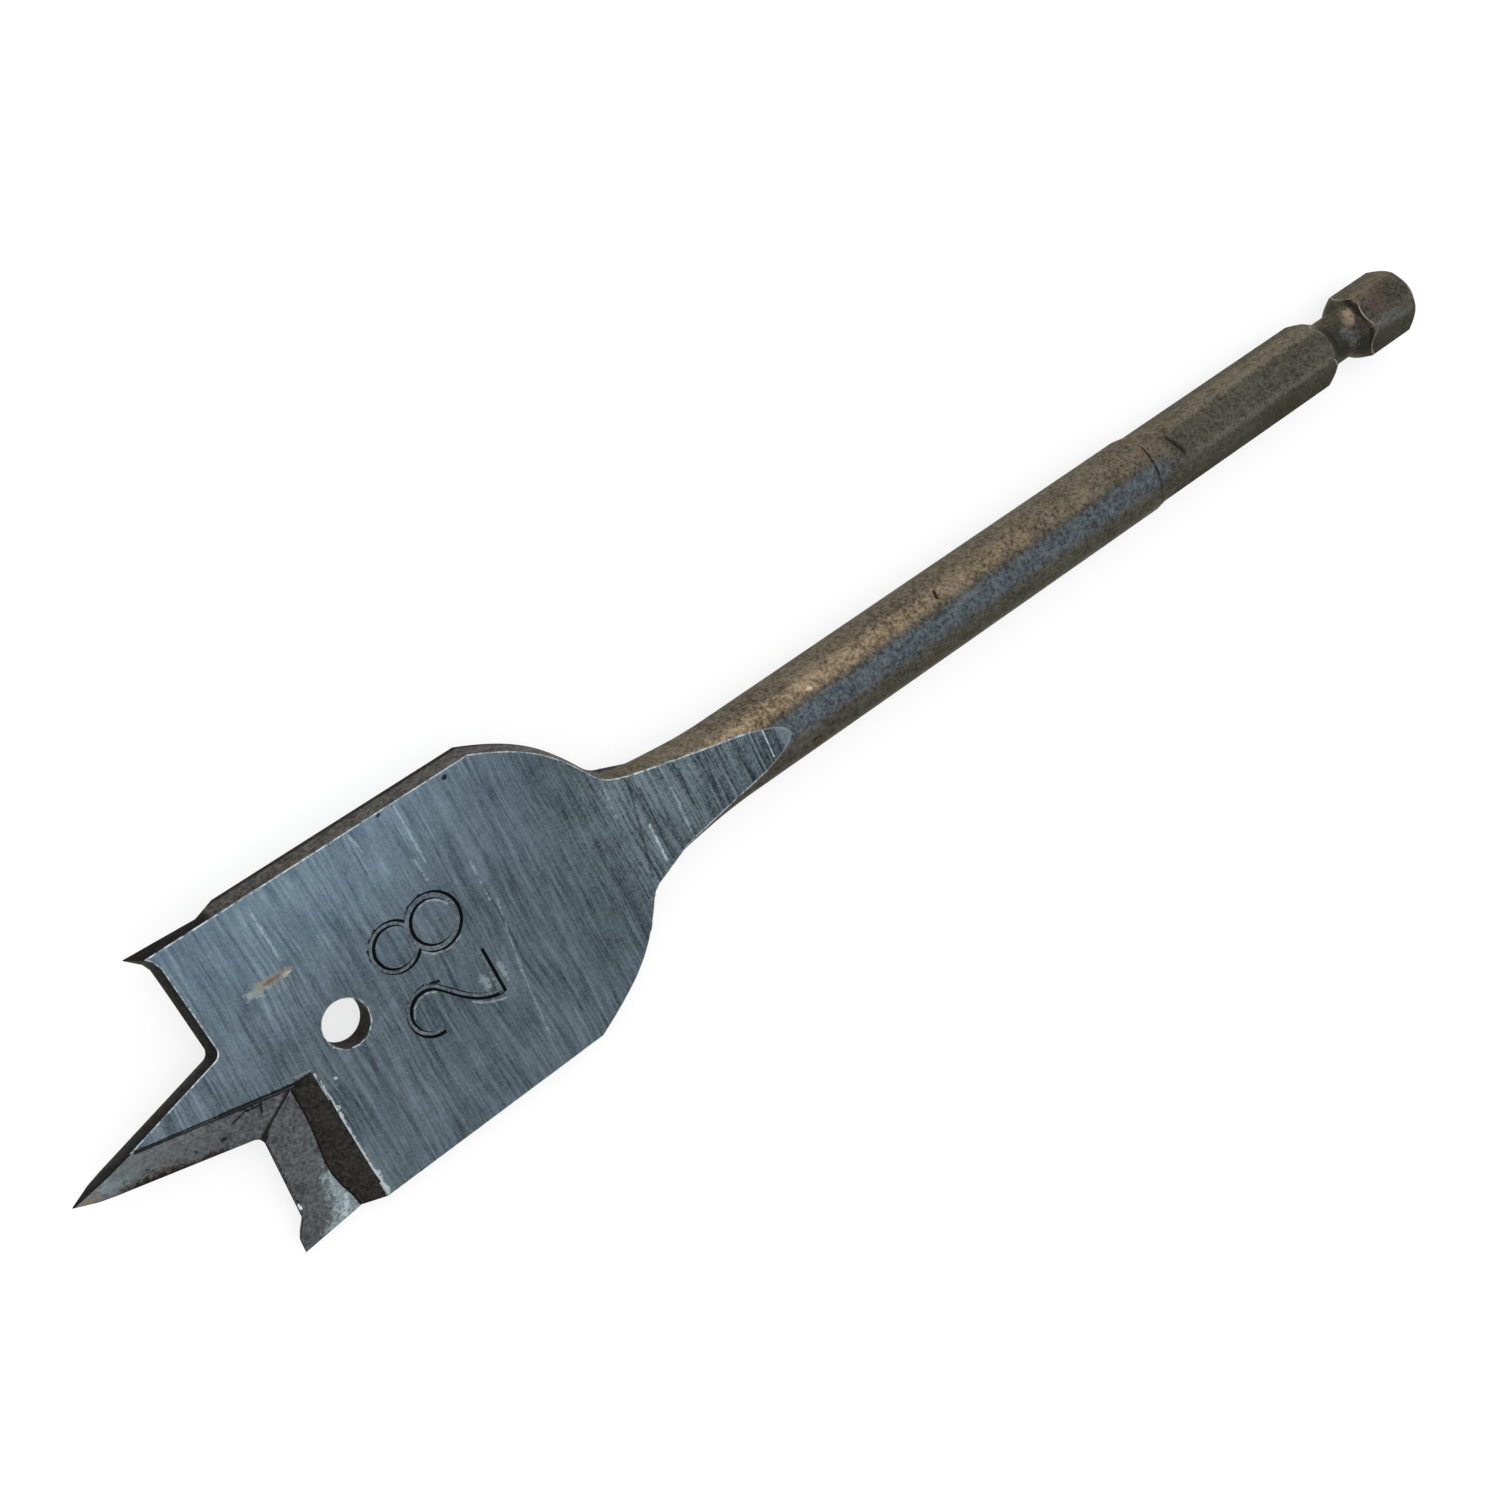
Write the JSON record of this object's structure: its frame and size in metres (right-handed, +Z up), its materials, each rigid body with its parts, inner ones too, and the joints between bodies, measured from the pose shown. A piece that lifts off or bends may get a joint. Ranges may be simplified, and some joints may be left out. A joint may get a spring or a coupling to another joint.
{
  "type": "spade drill bit",
  "caption": "Flat spade bit for boring wood: long centre point, ground blade with outer spurs, round shaft and hexagonal quick-change shank.",
  "frame": {"origin": "middle of the bounding box's underside, on the surface that the bit lies on", "axes": "+X from the centre point's tip towards the shank's end, along the axis the bit turns about; +Z up; the blade lies rolled about X, so that its -Y edge touches the surface beside the shaft"},
  "size_m": [0.152, 0.0278, 0.0075],
  "materials": {
    "steel": "forged and ground tool steel: ground blue-grey faces with fine lines across the blade, brown-black oxide on the edges, shaft and shank"
  },
  "bodies": {
    "root": {"spade_bit": "steel"}
  },
  "joints": []
}
